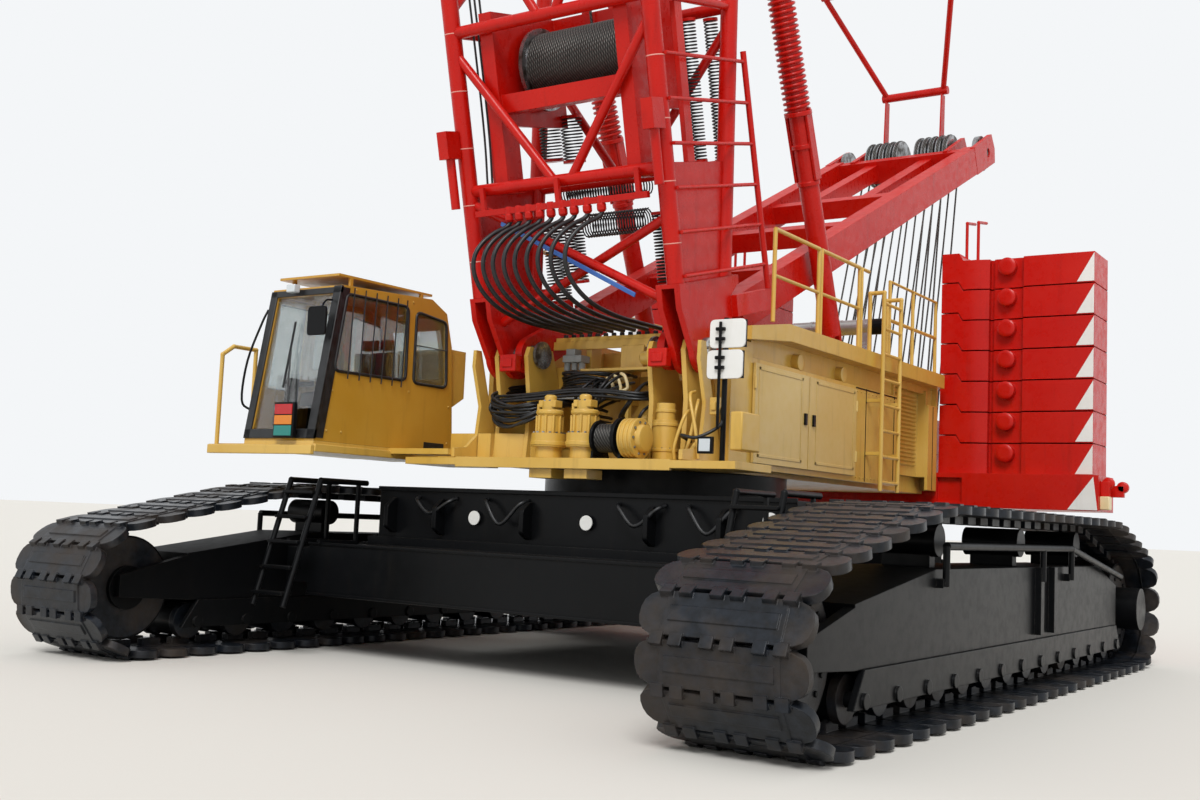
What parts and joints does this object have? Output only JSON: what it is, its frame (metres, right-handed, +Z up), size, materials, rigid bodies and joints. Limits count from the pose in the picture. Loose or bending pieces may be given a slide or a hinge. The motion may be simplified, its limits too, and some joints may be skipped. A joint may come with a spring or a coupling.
{
  "type": "crawler crane",
  "caption": "Crawler crane with lattice boom, box-section mast, cab, machinery house and stacked counterweights on two shoe tracks.",
  "frame": {"origin": "on the ground below the slewing centre", "axes": "+Z up, -Y to the front where the boom leans, +X to the machine's left side"},
  "size_m": [7.98, 14.1199, 21.1529],
  "materials": {
    "red_paint": "signal red gloss paint",
    "yellow_paint": "warm yellow gloss paint, weathered",
    "black_paint": "black paint, dusty",
    "cast_steel": "cast shoes, dusty grey",
    "machined_steel": "machined and greased",
    "exhaust_steel": "heat-stained",
    "glass": "tinted",
    "rubber": "hydraulic hose",
    "seat_trim": "woven",
    "mirror_back": "white moulded"
  },
  "bodies": {
    "root": {"carbody": "black_paint", "carbody_weights": "black_paint", "steps": "black_paint", "side_frame_left": "black_paint", "side_frame_right": "black_paint", "track_left": "cast_steel", "track_right": "cast_steel", "rollers_left": "black_paint", "rollers_right": "black_paint", "idlers": "black_paint", "sprockets": "black_paint"},
    "upper": {"slew_ring": "black_paint", "platform": "yellow_paint", "foot_brackets": "yellow_paint", "foot_pins": "machined_steel", "house": "yellow_paint", "engine": "black_paint", "exhaust": "exhaust_steel", "swing_drives": "yellow_paint", "front_winch": "black_paint", "handrails": "yellow_paint", "ladder": "yellow_paint", "mirrors": "mirror_back", "tail_tray": "red_paint", "counterweight_left": "red_paint", "counterweight_right": "red_paint", "rope_anchor": "red_paint", "cab_bracket": "yellow_paint", "cab_shell": "yellow_paint", "cab_glass": "glass", "cab_seat": "seat_trim", "hoses": "rubber"},
    "cab_door": {"cab_door": "yellow_paint", "cab_door_glass": "glass"},
    "house_door_front": {"house_door_front": "yellow_paint"},
    "house_door_rear": {"house_door_rear": "yellow_paint"},
    "boom": {"boom_feet": "red_paint", "boom_butt": "red_paint", "boom_lacing": "red_paint", "boom_tip": "red_paint", "boom_head": "machined_steel", "boom_ladder": "red_paint", "drum_frame": "red_paint", "hose_rail": "red_paint"},
    "hoist_drum": {"hoist_drum": "machined_steel"},
    "mast": {"mast": "red_paint", "mast_head": "machined_steel", "pendants": "red_paint"},
    "backstop_rods": {"backstop_rods": "red_paint"},
    "backstop_tubes": {"backstop_tubes": "red_paint"},
    "hook_block": {"hook_block": "yellow_paint"},
    "hook": {"hook": "machined_steel"}
  },
  "joints": [
    {"name": "slew", "type": "hinge", "parent": "root", "child": "upper", "pos_m": [0, 0, 1.8], "axis": [0, 0, 1], "continuous": true},
    {"name": "boom_luff", "type": "hinge", "parent": "upper", "child": "boom", "pos_m": [0, -1.39, 3.08], "axis": [1, 0, 0], "range_deg": [-6.5, 45.5], "deforming": ["hoses"]},
    {"name": "mast_swing", "type": "hinge", "parent": "upper", "child": "mast", "pos_m": [0, -1.39, 3.08], "axis": [1, 0, 0], "range_deg": [-7, 46]},
    {"name": "backstop_swing", "type": "hinge", "parent": "boom", "child": "backstop_rods", "pos_m": [0, -1.19969, 9.5332], "axis": [1, 0, 0], "range_deg": [-10, 2]},
    {"name": "backstop_slide", "type": "slide", "parent": "backstop_rods", "child": "backstop_tubes", "axis": [0, 0.4119, -0.9112], "range_m": [-0.4, 2.2]},
    {"name": "drum_spin", "type": "hinge", "parent": "boom", "child": "hoist_drum", "pos_m": [0, -1.67042, 5.96157], "axis": [1, 0, 0], "continuous": true},
    {"name": "hook_level", "type": "hinge", "parent": "boom", "child": "hook_block", "pos_m": [0, -6.11718, 20.75954], "axis": [1, 0, 0], "range_deg": [-46, 7]},
    {"name": "hook_turn", "type": "hinge", "parent": "hook_block", "child": "hook", "pos_m": [0, -6.44718, 17.5], "axis": [0, 0, 1], "continuous": true},
    {"name": "cab_door_slide", "type": "slide", "parent": "upper", "child": "cab_door", "axis": [0, 1, 0], "range_m": [0, 0.85]},
    {"name": "house_door_front_swing", "type": "hinge", "parent": "upper", "child": "house_door_front", "pos_m": [1.476, -0.85, 2.7], "axis": [0, 0, 1], "range_deg": [-90, 0]},
    {"name": "house_door_rear_swing", "type": "hinge", "parent": "upper", "child": "house_door_rear", "pos_m": [1.476, 1.59, 2.7], "axis": [0, 0, 1], "range_deg": [0, 90]}
  ],
  "couplings": [
    {"joint": "mast_swing", "follows": "boom_luff", "ratio": 1},
    {"joint": "backstop_swing", "follows": "boom_luff", "ratio": -0.19},
    {"joint": "backstop_slide", "follows": "boom_luff", "m_per_rad": 2.5},
    {"joint": "hook_level", "follows": "boom_luff", "ratio": -1}
  ]
}
